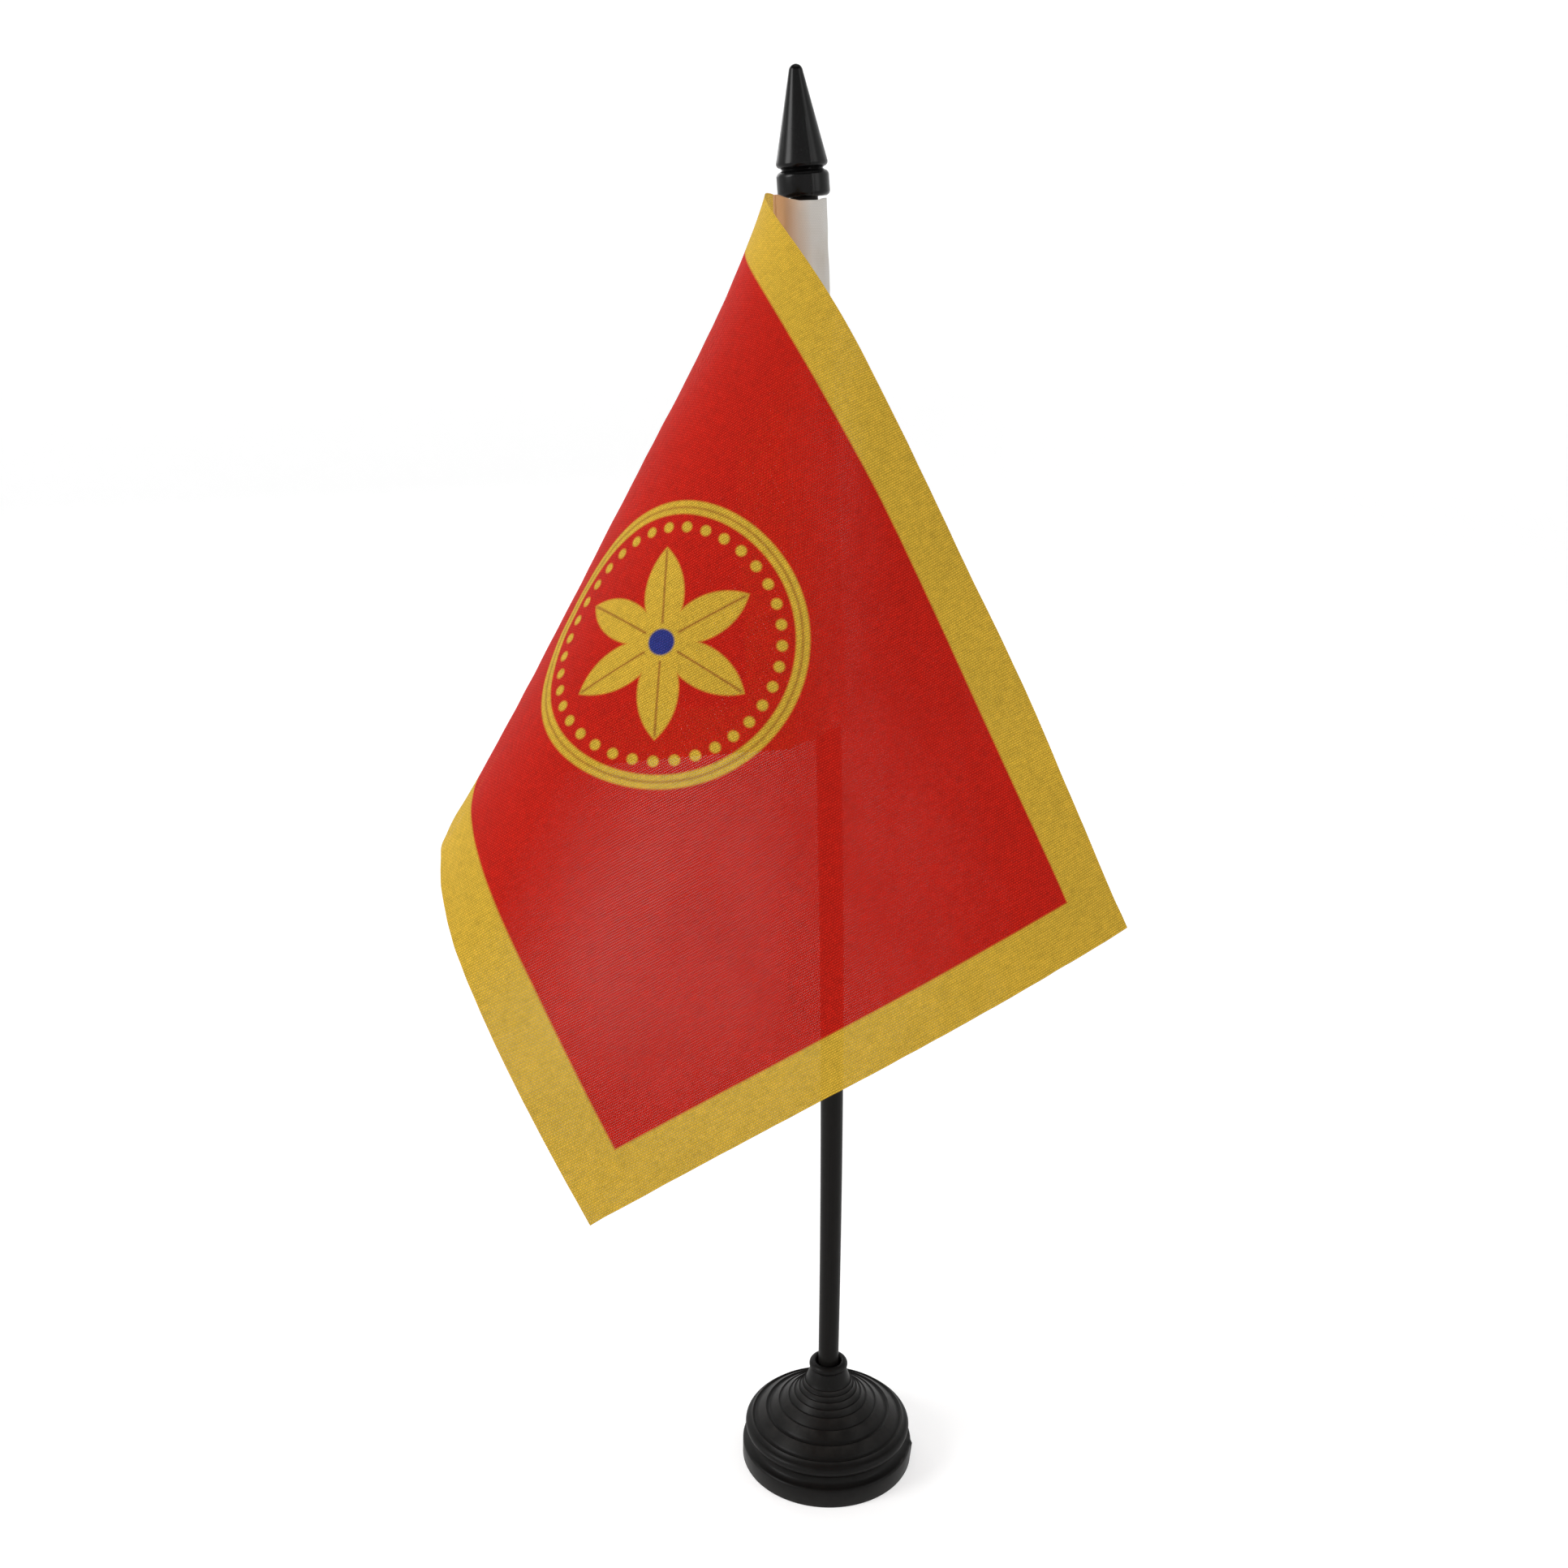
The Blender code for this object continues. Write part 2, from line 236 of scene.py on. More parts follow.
class Recipe:
    """A material's nodes, written as a short recipe: each method adds a node and returns its output."""

    def __init__(self, name):
        self.material = bpy.data.materials.new(name)
        self.material.use_nodes = True
        self.tree = self.material.node_tree
        self.shader = self.tree.nodes["Principled BSDF"]
        self.output = self.tree.nodes["Material Output"]

    def node(self, kind, **settings):
        node = self.tree.nodes.new(kind)
        for key, value in settings.items():
            setattr(node, key, value)
        return node

    def put(self, value, socket):
        if isinstance(value, bpy.types.NodeSocket):
            self.tree.links.new(value, socket)
        else:
            socket.default_value = value

    def math(self, operation, a, b=0.0, c=0.0, clamp=False):
        node = self.node("ShaderNodeMath", operation=operation, use_clamp=clamp)
        for value, socket in zip((a, b, c), node.inputs):
            self.put(value, socket)
        return node.outputs[0]

    def vector(self, operation, a, b, out=0):
        node = self.node("ShaderNodeVectorMath", operation=operation)
        self.put(a, node.inputs[0])
        self.put(b, node.inputs[1])
        return node.outputs[out]

    def join(self, x, y, z=0.0):
        node = self.node("ShaderNodeCombineXYZ")
        for value, socket in zip((x, y, z), node.inputs):
            self.put(value, socket)
        return node.outputs[0]

    def scaled(self, x, y, x_scale, y_scale):
        """A place for a pattern that is finer one way than the other."""
        return self.join(self.math("MULTIPLY", x, x_scale), self.math("MULTIPLY", y, y_scale))

    def split(self, vector):
        node = self.node("ShaderNodeSeparateXYZ")
        self.put(vector, node.inputs[0])
        return node.outputs

    def mix(self, share, a, b):
        node = self.node("ShaderNodeMix", data_type="RGBA")
        self.put(share, node.inputs["Factor"])
        self.put(a, node.inputs[6])
        self.put(b, node.inputs[7])
        return node.outputs[2]

    def ramp(self, value, low, high, to_low=0.0, to_high=1.0):
        node = self.node("ShaderNodeMapRange")
        for item, socket in zip((value, low, high, to_low, to_high), node.inputs):
            self.put(item, socket)
        return node.outputs[0]

    def noise(self, vector, scale, detail=2.0, roughness=0.5):
        node = self.node("ShaderNodeTexNoise")
        self.put(vector, node.inputs["Vector"])
        node.inputs["Scale"].default_value = scale
        node.inputs["Detail"].default_value = detail
        node.inputs["Roughness"].default_value = roughness
        return node.outputs[0]

    def bump(self, height, strength, distance, normal=None):
        node = self.node("ShaderNodeBump")
        node.inputs["Strength"].default_value = strength
        node.inputs["Distance"].default_value = distance
        self.put(height, node.inputs["Height"])
        if normal is not None:
            self.put(normal, node.inputs["Normal"])
        return node.outputs[0]

    def place(self):
        """The place on the model in millimetres, the same at every pose."""
        coordinates = self.node("ShaderNodeTexCoord")
        return self.vector("MULTIPLY", coordinates.outputs["Object"], (1 / MM, 1 / MM, 1 / MM))

    def end_with(self, shader):
        self.tree.links.new(shader, self.output.inputs["Surface"])


def moulded_plastic(name, colour, roughness, grain, coat):
    """Satin black plastic: fine moulding grain, faint turned streaks, and edges rubbed a little lighter."""
    recipe = Recipe(name)
    place = recipe.place()
    x, y, z = recipe.split(place)
    around = recipe.math("ARCTAN2", y, x)
    streak_place = recipe.join(recipe.math("MULTIPLY", around, 1.2), 0.0, recipe.math("MULTIPLY", z, 5.0))
    streaks = recipe.noise(streak_place, 1.0, 3.0)
    mottle = recipe.noise(place, 0.35, 4.0, 0.6)
    fine = recipe.noise(place, 5.5, 3.0, 0.7)
    geometry = recipe.node("ShaderNodeNewGeometry")
    wear_and_highlight = recipe.ramp(geometry.outputs["Pointiness"], 0.515, 0.56)
    wear_and_highlight = recipe.math("MULTIPLY", wear_and_highlight, recipe.ramp(mottle, 0.35, 0.65, 0.2, 0.9))
    worn = tone(colour, 4.0)
    deep = tone(colour, 0.7)
    base = recipe.mix(recipe.ramp(mottle, 0.3, 0.7), deep, colour)
    recipe.put(recipe.mix(wear_and_highlight, base, worn), recipe.shader.inputs["Base Color"])
    rough = recipe.math("ADD", roughness - 0.08, recipe.math("MULTIPLY", mottle, 0.12))
    rough = recipe.math("ADD", rough, recipe.math("MULTIPLY", streaks, 0.06))
    recipe.put(rough, recipe.shader.inputs["Roughness"])
    relief = recipe.math("ADD", recipe.math("MULTIPLY", streaks, 0.5), fine)
    recipe.put(recipe.bump(relief, grain, 0.03 * MM), recipe.shader.inputs["Normal"])
    recipe.shader.inputs["Specular IOR Level"].default_value = 0.10
    recipe.shader.inputs["Coat Weight"].default_value = coat
    recipe.shader.inputs["Coat Roughness"].default_value = 0.18
    return recipe.material


def drawn_plastic(name, colour):
    """The stick's black plastic: fine draw lines along its length and a slightly uneven satin."""
    recipe = Recipe(name)
    place = recipe.place()
    x, y, z = recipe.split(place)
    across_x = recipe.math("MULTIPLY", x, 3.0)
    across_y = recipe.math("MULTIPLY", y, 3.0)
    lines_place = recipe.join(across_x, across_y, recipe.math("MULTIPLY", z, 0.03))
    lines = recipe.noise(lines_place, 2.0, 4.0, 0.7)
    mottle = recipe.noise(place, 0.25, 4.0, 0.6)
    dust = recipe.ramp(recipe.noise(place, 4.0, 2.0), 0.68, 0.78)
    base = recipe.mix(recipe.ramp(lines, 0.3, 0.7), colour, tone(colour, 1.7))
    base = recipe.mix(recipe.math("MULTIPLY", dust, 0.06), base, linear(120, 116, 110))
    recipe.put(base, recipe.shader.inputs["Base Color"])
    rough = recipe.math("ADD", 0.33, recipe.math("MULTIPLY", mottle, 0.16))
    recipe.put(rough, recipe.shader.inputs["Roughness"])
    relief = recipe.math("ADD", lines, recipe.math("MULTIPLY", mottle, 2.0))
    recipe.put(recipe.bump(relief, 0.35, 0.03 * MM), recipe.shader.inputs["Normal"])
    recipe.shader.inputs["Specular IOR Level"].default_value = 0.08
    return recipe.material


# Print: a compass-drawn ornament in the middle of the sheet, in millimetres, and the inks
RING_RADIUS = 22.0
RING_HALF_WIDTH = 1.1
RING_LINE_HALF_WIDTH = 0.18
BEAD_CIRCLE_RADIUS = 18.8
BEAD_COUNT = 36
BEAD_RADIUS = 0.85
PETAL_LENGTH = 15.5
PETAL_HALF_WIDTH = 3.3
CENTRE_RADIUS = 3.0
CENTRE_RIM = 0.9
RED = linear(208, 26, 5)
GOLD = linear(224, 186, 60)
GOLD_LINE = linear(176, 118, 40)
BLUE = linear(46, 58, 140)


class Print(Recipe):
    """The flag's print, in millimetres from the sheet's middle: x to the fly and y to the top."""

    SOFT_EDGE = 0.4

    def __init__(self, name):
        super().__init__(name)
        uv = self.node("ShaderNodeUVMap", uv_map="Sheet")
        u, v, _ = self.split(uv.outputs[0])
        self.x = self.math("MULTIPLY_ADD", u, FLAG_WIDTH, -FLAG_WIDTH / 2)
        self.y = self.math("MULTIPLY_ADD", v, FLAG_HEIGHT, -FLAG_HEIGHT / 2)
        self.side = self.math("ABSOLUTE", self.x)
        self.point = self.join(self.side, self.y)

    def inside(self, distance):
        """How much ink lies at a signed distance from a shape's edge, where the dye spreads a little."""
        return self.ramp(distance, self.SOFT_EDGE / 2, -self.SOFT_EDGE / 2)

    def leaf(self, foot, degrees, length, half_width):
        """A pointed leaf between two arcs: its edge distance and its midrib's distance."""
        angle = math.radians(degrees)
        along = Vector((math.cos(angle), math.sin(angle), 0.0))
        across = Vector((-along.y, along.x, 0.0))
        middle = Vector((*foot, 0.0)) + along * (length / 2)
        radius = ((length / 2) ** 2 + half_width**2) / (2 * half_width)
        one = self.vector("DISTANCE", self.point, middle + across * (radius - half_width), 1)
        two = self.vector("DISTANCE", self.point, middle - across * (radius - half_width), 1)
        edge = self.math("SUBTRACT", self.math("MAXIMUM", one, two), radius)
        rib = self.math("ABSOLUTE", self.math("SUBTRACT", one, two))
        return edge, rib

    def leaves(self, layout):
        """The union of several leaves, and the ink share of their midribs."""
        whole = None
        ribs = None
        for foot, degrees, length, half_width in layout:
            edge, rib = self.leaf(foot, degrees, length, half_width)
            vein = self.math("MAXIMUM", self.math("SUBTRACT", rib, 0.35), self.math("ADD", edge, 0.25))
            whole = edge if whole is None else self.math("MINIMUM", whole, edge)
            ribs = vein if ribs is None else self.math("MINIMUM", ribs, vein)
        return whole, ribs

    def beads(self):
        """A circle of evenly spaced round beads: its edge distance."""
        radius = self.vector("LENGTH", self.join(self.x, self.y), (0.0, 0.0, 0.0), 1)
        angle = self.math("ADD", self.math("ARCTAN2", self.x, self.y), math.tau)
        turn = self.math("PINGPONG", angle, math.pi / BEAD_COUNT)
        along = self.math("MULTIPLY", radius, self.math("COSINE", turn))
        across = self.math("MULTIPLY", radius, self.math("SINE", turn))
        from_bead = self.join(self.math("SUBTRACT", along, BEAD_CIRCLE_RADIUS), across)
        away = self.vector("LENGTH", from_bead, (0.0, 0.0, 0.0), 1)
        return self.math("SUBTRACT", away, BEAD_RADIUS)

    def disc(self, centre, radius):
        away = self.vector("DISTANCE", self.point, (*centre, 0.0), 1)
        return self.math("SUBTRACT", away, radius)

    def ornament(self, ground):
        """A plain compass-drawn ornament: a ring and a circle of beads round a six-petal rosette."""
        petals = []
        for degrees in (-90.0, -30.0, 30.0, 90.0):
            petals.append(((0.0, 0.0), degrees, PETAL_LENGTH, PETAL_HALF_WIDTH))
        rosette, ribs = self.leaves(petals)
        from_ring = self.math("ABSOLUTE", self.disc((0.0, 0.0), RING_RADIUS))
        ring = self.math("SUBTRACT", from_ring, RING_HALF_WIDTH)
        centre = self.disc((0.0, 0.0), CENTRE_RADIUS)
        whole = self.math("MINIMUM", self.math("MINIMUM", rosette, ring), self.beads())
        colour = self.mix(self.inside(whole), ground, GOLD)
        colour = self.mix(self.math("MULTIPLY", self.inside(ribs), 0.85), colour, GOLD_LINE)
        ring_line = self.math("SUBTRACT", from_ring, RING_LINE_HALF_WIDTH)
        colour = self.mix(self.math("MULTIPLY", self.inside(ring_line), 0.8), colour, GOLD_LINE)
        colour = self.mix(self.inside(centre), colour, GOLD)
        return self.mix(self.inside(self.math("ADD", centre, CENTRE_RIM)), colour, BLUE)

    def colours(self):
        side = self.math("SUBTRACT", self.side, FLAG_WIDTH / 2 - BORDER)
        ends = self.math("SUBTRACT", self.math("ABSOLUTE", self.y), FLAG_HEIGHT / 2 - BORDER)
        ground = self.mix(self.inside(self.math("MAXIMUM", side, ends)), GOLD, RED)
        return self.ornament(ground)


def printed_cloth(name, paleness):
    """Plain-woven polyester with a dye print, pinholes between its threads, and light through it."""
    recipe = Print(name)
    rib = recipe.math("SINE", recipe.math("MULTIPLY", recipe.x, math.pi / RIB_PITCH))
    weft = recipe.math("SINE", recipe.math("MULTIPLY", recipe.y, math.pi / WEFT_PITCH))
    rib_round = recipe.math("ABSOLUTE", rib)
    weft_round = recipe.math("ABSOLUTE", weft)
    rib_on_top = recipe.math("MULTIPLY_ADD", recipe.math("MULTIPLY", rib, weft), 3.0, 0.5, clamp=True)
    rib_crown = recipe.math("MULTIPLY", rib_round, recipe.math("MULTIPLY_ADD", weft_round, 0.5, 0.6))
    weft_crown = recipe.math("MULTIPLY", weft_round, recipe.math("MULTIPLY_ADD", rib_round, 0.4, 0.4))
    height = recipe.math("MULTIPLY", rib_on_top, rib_crown)
    height = recipe.math("MULTIPLY_ADD", recipe.math("SUBTRACT", 1.0, rib_on_top), weft_crown, height)
    rib_slub = recipe.noise(recipe.scaled(recipe.x, recipe.y, 2.7, 0.5), 1.0, 2.0)
    weft_slub = recipe.noise(recipe.scaled(recipe.x, recipe.y, 0.5, 3.9), 1.0, 2.0)
    blotch = recipe.noise(recipe.join(recipe.x, recipe.y), 0.08, 3.0)
    shade = recipe.ramp(height, 0.05, 0.9, 0.52, 1.14)
    slub = recipe.ramp(recipe.math("ADD", rib_slub, weft_slub), 0.7, 1.3, 0.84, 1.14)
    shade = recipe.math("MULTIPLY", shade, slub)
    shade = recipe.math("MULTIPLY", shade, recipe.ramp(blotch, 0.3, 0.7, 0.97, 1.03))
    ink = recipe.colours()
    # Painted highlight: the crowns of the threads are tinted a pale warm colour where light would catch them.
    wear_and_highlight = recipe.math("MULTIPLY", recipe.ramp(height, 0.75, 1.05), 0.03)
    ink = recipe.mix(wear_and_highlight, ink, linear(240, 200, 170))
    ink = recipe.mix(paleness, ink, linear(236, 226, 214))
    ink = recipe.vector("SCALE", ink, (0.0, 0.0, 0.0))
    recipe.put(shade, ink.node.inputs["Scale"])
    shader = recipe.shader
    recipe.put(ink, shader.inputs["Base Color"])
    recipe.put(recipe.ramp(height, 0.2, 0.9, 0.86, 0.66), shader.inputs["Roughness"])
    shader.inputs["Specular IOR Level"].default_value = 0.14
    shader.inputs["Sheen Weight"].default_value = 0.04
    shader.inputs["Sheen Roughness"].default_value = 0.45
    relief = recipe.bump(height, 0.8, 0.08 * MM)
    recipe.put(relief, shader.inputs["Normal"])
    glow = recipe.node("ShaderNodeBsdfTranslucent")
    recipe.put(ink, glow.inputs["Color"])
    recipe.put(relief, glow.inputs["Normal"])
    cloth = recipe.node("ShaderNodeMixShader")
    cloth.inputs[0].default_value = 0.30
    recipe.tree.links.new(shader.outputs[0], cloth.inputs[1])
    recipe.tree.links.new(glow.outputs[0], cloth.inputs[2])
    gap = recipe.math("MAXIMUM", rib_round, weft_round)
    pinhole = recipe.ramp(gap, 0.38, 0.24)
    clear = recipe.node("ShaderNodeBsdfTransparent")
    pierced = recipe.node("ShaderNodeMixShader")
    recipe.put(pinhole, pierced.inputs[0])
    recipe.tree.links.new(cloth.outputs[0], pierced.inputs[1])
    recipe.tree.links.new(clear.outputs[0], pierced.inputs[2])
    recipe.end_with(pierced.outputs[0])
    return recipe.material


def plain_cloth(name, colour, pitch, glow_share, width):
    """White woven polyester for the sleeve: an even weave, soft creases and painted gold light bounced from
    the flag near the seam.
    """
    recipe = Recipe(name)
    uv = recipe.node("ShaderNodeUVMap", uv_map="Sheet")
    around, down, _ = recipe.split(recipe.vector("MULTIPLY", uv.outputs[0], (1 / MM, 1 / MM, 0.0)))
    one = recipe.math("SINE", recipe.math("MULTIPLY", around, math.pi / pitch))
    two = recipe.math("SINE", recipe.math("MULTIPLY", down, math.pi / pitch))
    weave = recipe.math("MAXIMUM", recipe.math("ABSOLUTE", one), recipe.math("ABSOLUTE", two))
    weave = recipe.math("MULTIPLY_ADD", recipe.math("MULTIPLY", one, two), 0.25, weave)
    crease = recipe.noise(recipe.scaled(around, down, 0.5, 0.12), 1.0, 3.0)
    grime = recipe.noise(recipe.place(), 0.09, 4.0, 0.6)
    shade = recipe.mix(recipe.ramp(weave, 0.3, 1.1), tone(colour, 0.8), colour)
    shade = recipe.mix(recipe.ramp(grime, 0.5, 0.8, 0.0, 0.25), shade, linear(205, 190, 162))
    # Painted reflection: near both edges at the seam, the sleeve is tinted golden-brown in place of light
    # bounced from the gold flag. The grime noise roughens where the tint fades.
    to_seam = recipe.math("MINIMUM", around, recipe.math("SUBTRACT", width, around))
    gold_bounce = recipe.math("ADD", to_seam, recipe.math("MULTIPLY", grime, 3.0))
    shade = recipe.mix(recipe.ramp(gold_bounce, 13.5, 5.0, 0.0, 0.78), shade, linear(206, 156, 84))
    shader = recipe.shader
    recipe.put(shade, shader.inputs["Base Color"])
    recipe.put(recipe.ramp(weave, 0.3, 1.1, 0.92, 0.74), shader.inputs["Roughness"])
    shader.inputs["Sheen Weight"].default_value = 0.15
    shader.inputs["Specular IOR Level"].default_value = 0.3
    soft = recipe.bump(crease, 0.5, 0.4 * MM)
    relief = recipe.bump(weave, 0.4, 0.05 * MM, soft)
    recipe.put(relief, shader.inputs["Normal"])
    glow = recipe.node("ShaderNodeBsdfTranslucent")
    recipe.put(shade, glow.inputs["Color"])
    recipe.put(relief, glow.inputs["Normal"])
    cloth = recipe.node("ShaderNodeMixShader")
    cloth.inputs[0].default_value = glow_share
    recipe.tree.links.new(shader.outputs[0], cloth.inputs[1])
    recipe.tree.links.new(glow.outputs[0], cloth.inputs[2])
    recipe.end_with(cloth.outputs[0])
    return recipe.material


def spun_thread(name, colour):
    """Sewing thread: a two-ply twist in its bump and its shading."""
    recipe = Recipe(name)
    x, y, z = recipe.split(recipe.place())
    slant = recipe.math("MULTIPLY", recipe.math("ADD", x, y), 9.0)
    twist = recipe.math("SINE", recipe.math("MULTIPLY_ADD", z, 14.0, slant))
    ply = recipe.ramp(twist, -1.0, 1.0)
    recipe.put(recipe.mix(ply, tone(colour, 0.7), colour), recipe.shader.inputs["Base Color"])
    recipe.put(recipe.ramp(ply, 0.0, 1.0, 0.85, 0.6), recipe.shader.inputs["Roughness"])
    recipe.shader.inputs["Sheen Weight"].default_value = 0.2
    recipe.put(recipe.bump(ply, 0.6, 0.05 * MM), recipe.shader.inputs["Normal"])
    return recipe.material


# ---------------------------------------------------------------- stand


def base_flare():
    """The bell of the base, shoulder to hub, with its turned grooves: (radius, height, depth)."""
    grooves = [
        (16.0, 10.2, 0.45),
        (13.0, 12.0, 0.50),
        (10.5, 13.7, 0.25),
        (8.4, 15.2, 0.22),
        (7.2, 16.3, 0.20),
        (6.2, 17.4, 0.18),
        (5.5, 18.4, 0.16),
        (5.0, 19.4, 0.14),
    ]
    points = []
    for radius, height, full_depth in grooves:
        depth = GROOVE_SOFTNESS * full_depth
        points.append((radius + 2.1 * depth, height - 0.35 * depth))
        points.append((radius + 1.5 * depth, height - 0.55 * depth))
        points.append((radius + 0.9 * depth, height - 0.78 * depth))
        points.append((radius + 0.3 * depth, height - 0.88 * depth))
        points.append((radius - 0.3 * depth, height - 0.72 * depth))
        points.append((radius - 0.9 * depth, height - 0.22 * depth))
        points.append((radius - 1.5 * depth, height + 0.55 * depth))
        points.append((radius - 1.9 * depth, height + 1.0 * depth))
    return points


def raise_gate_mark(bm):
    """The small nub on the plinth's side where the moulding was broken off its runner."""
    for vert in bm.verts:
        radius = math.hypot(vert.co.x, vert.co.y)
        if radius < SHELL_INNER_RADIUS + 0.5:
            continue
        along = math.atan2(vert.co.y, vert.co.x) * radius
        nub = 0.38 * math.exp(-((along / 0.7) ** 2) - ((vert.co.z - 4.0) / 0.8) ** 2)
        vert.co.x += nub


def make_base():
    plinth_corner = arc((BASE_RADIUS - 0.7, PLINTH_TOP - 0.7), 0.7, 0, 80, 10)
    cove = [(17.3, 4.9), (17.0, 5.3), (16.9, 5.8), (16.9, 6.2), (17.0, 6.7)]
    shoulder = arc((SHOULDER_RADIUS - 1.2, SHOULDER_HEIGHT), 1.2, -60, 75, 16)
    hub_rim = arc((HUB_RIM_RADIUS - 1.1, HUB_TOP - 1.8), 1.0, -55, 100, 20)
    profile = [(0.0, 0.0), (BOSS_RADIUS - 0.3, 0.0), (BOSS_RADIUS, 0.3), (BOSS_RADIUS, 13.6)]
    profile += [(5.4, 14.1), (6.2, 14.2), (7.0, 13.8), (10.0, 11.4), (15.2, 7.4)]
    profile += [(SHELL_INNER_RADIUS - 1.2, 5.5), (SHELL_INNER_RADIUS, 3.6)]
    profile += [(SHELL_INNER_RADIUS, 0.2), (SHELL_INNER_RADIUS + 0.2, 0.0)]
    profile += [(BASE_RADIUS - 0.3, 0.0), (BASE_RADIUS - 0.1, 0.08), (BASE_RADIUS, 0.3)]
    profile += plinth_corner + cove + shoulder + base_flare()
    profile += [(4.55, 20.3), (4.4, 20.8), (4.15, 21.5), (3.92, 22.1)]
    profile += hub_rim
    profile += [(2.85, 24.0), (2.7, 23.7), (2.6, 23.2), (SOCKET_RADIUS, 22.8)]
    profile += [(SOCKET_RADIUS, SOCKET_FLOOR), (0.0, SOCKET_FLOOR)]
    bm = turned(profile, BASE_SEGMENTS)
    raise_gate_mark(bm)
    mesh = mesh_from(bm, "base_moulding")
    material = moulded_plastic("base_satin_black", linear(14, 13, 12), 0.44, 0.30, 0.02)
    piece = make_piece("base_moulding", mesh, [material], "base", 50.0)
    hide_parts("base")


def stick_offset(z):
    """How far the stick's axis leans towards -X at a height."""
    return -STICK_BOW * (max(z, 0.0) / BOW_HEIGHT) ** BOW_POWER


def stick_lean(z):
    """The stick's lean at a height, in radians from the vertical, towards -X."""
    return math.atan(STICK_BOW * BOW_POWER / BOW_HEIGHT * (z / BOW_HEIGHT) ** (BOW_POWER - 1))


def make_stick():
    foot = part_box("stick")[0].z / MM
    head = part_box("stick")[1].z / MM
    bm = bmesh.new()
    loops = []
    chamfer = 0.25
    heights = [foot, foot + chamfer]
    straight = head - foot - 2 * chamfer
    for i in range(1, STICK_RINGS + 1):
        heights.append(foot + chamfer + straight * i / STICK_RINGS)
    heights.append(head)
    for z in heights:
        widening = min(max(z - HUB_TOP, 0.0) / (STICK_FULL_HEIGHT - HUB_TOP), 1.0)
        radius = STICK_RADIUS_FOOT + (STICK_RADIUS - STICK_RADIUS_FOOT) * widening
        if z in (foot, head):
            radius -= chamfer
        lean = stick_lean(z)
        loop = []
        for k in range(STICK_SEGMENTS):
            angle = math.tau * k / STICK_SEGMENTS
            across = radius * math.cos(angle)
            x = stick_offset(z) + across * math.cos(lean)
            loop.append(bm.verts.new((x, radius * math.sin(angle), z)))
        loops.append(loop)
    for low, high in zip(loops, loops[1:]):
        for k in range(STICK_SEGMENTS):
            j = (k + 1) % STICK_SEGMENTS
            bm.faces.new((low[k], low[j], high[j], high[k]))
    bm.faces.new(list(reversed(loops[0])))
    bm.faces.new(loops[-1])
    material = drawn_plastic("stick_satin_black", linear(13, 12, 11))
    piece = make_piece("stick_rod", mesh_from(bm, "stick_rod"), [material], "stick", 35.0)
    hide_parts("stick")


def make_finial():
    """The cone and its collar, turned about their own axis and leant over with the stick's top end."""
    collar = arc((COLLAR_RADIUS - 0.9, 0.9), 0.9, -80, 0, 10)
    collar += arc((COLLAR_RADIUS - 1.0, COLLAR_HEIGHT - 1.0), 1.0, 0, 75, 10)
    neck = [(3.75, 4.62), (3.7, 4.75), (3.8, 4.9)]
    cone_foot = arc((CONE_RADIUS - 0.8, CONE_BOTTOM + 0.8), 0.8, -80, 8, 10)
    tip = arc((0.0, FINIAL_HEIGHT - TIP_RADIUS), TIP_RADIUS, 8, 90, 12)
    tip[-1] = (0.0, FINIAL_HEIGHT)
    wall = []
    for i in range(1, 24):
        share = i / 24
        radius = cone_foot[-1][0] + (tip[0][0] - cone_foot[-1][0]) * share
        height = cone_foot[-1][1] + (tip[0][1] - cone_foot[-1][1]) * share
        wall.append((radius, height))
    bore = STICK_RADIUS + 0.3
    profile = [(0.0, FINIAL_BORE_DEPTH), (bore, FINIAL_BORE_DEPTH), (bore, 0.2), (bore + 0.2, 0.0)]
    profile += collar + neck + cone_foot + wall + tip
    bm = turned(profile, FINIAL_SEGMENTS)
    raise_parting_lines(bm, STICK_RADIUS + 0.6)
    leant = Matrix.Rotation(-stick_lean(COLLAR_BOTTOM), 4, "Y")
    bm.transform(Matrix.Translation((stick_offset(COLLAR_BOTTOM), 0.0, COLLAR_BOTTOM)) @ leant)
    material = moulded_plastic("finial_gloss_black", linear(7, 7, 7), 0.24, 0.22, 0.10)
    mesh = mesh_from(bm, "finial_cone")
    piece = make_piece("finial_cone", mesh, [material], "finial", 50.0)
    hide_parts("finial")


# ---------------------------------------------------------------- flag


def blend_weights(count, u):
    """Weights of the control points of a clamped cubic spline, by the Cox and de Boor rule."""
    degree = 3
    inner = count - degree
    knots = [0.0] * degree + [i / inner for i in range(inner + 1)] + [1.0] * degree
    u = min(max(u, 0.0), 1.0 - 1e-9)
    weights = [1.0 if knots[i] <= u < knots[i + 1] else 0.0 for i in range(len(knots) - 1)]
    for order in range(1, degree + 1):
        for i in range(len(knots) - 1 - order):
            left_span = knots[i + order] - knots[i]
            right_span = knots[i + order + 1] - knots[i + 1]
            left = (u - knots[i]) / left_span * weights[i] if left_span else 0.0
            right = (knots[i + order + 1] - u) / right_span * weights[i + 1] if right_span else 0.0
            weights[i] = left + right
    return weights[:count]


def flag_points(us, vs):
    """Points of the flag's middle surface at every pair of the given u and v."""
    along = np.array([blend_weights(len(FLAG_NET), u) for u in us])
    down = np.array([blend_weights(len(FLAG_NET[0]), v) for v in vs])
    return np.einsum("ia,jb,abc->ijc", along, down, np.array(FLAG_NET, float))


def flag_point(u, v):
    return Vector(flag_points([u], [v])[0, 0])


def flag_normals(points):
    across = np.gradient(points, axis=0)
    down = np.gradient(points, axis=1)
    normals = np.cross(across, down)
    return normals / np.linalg.norm(normals, axis=2, keepdims=True)


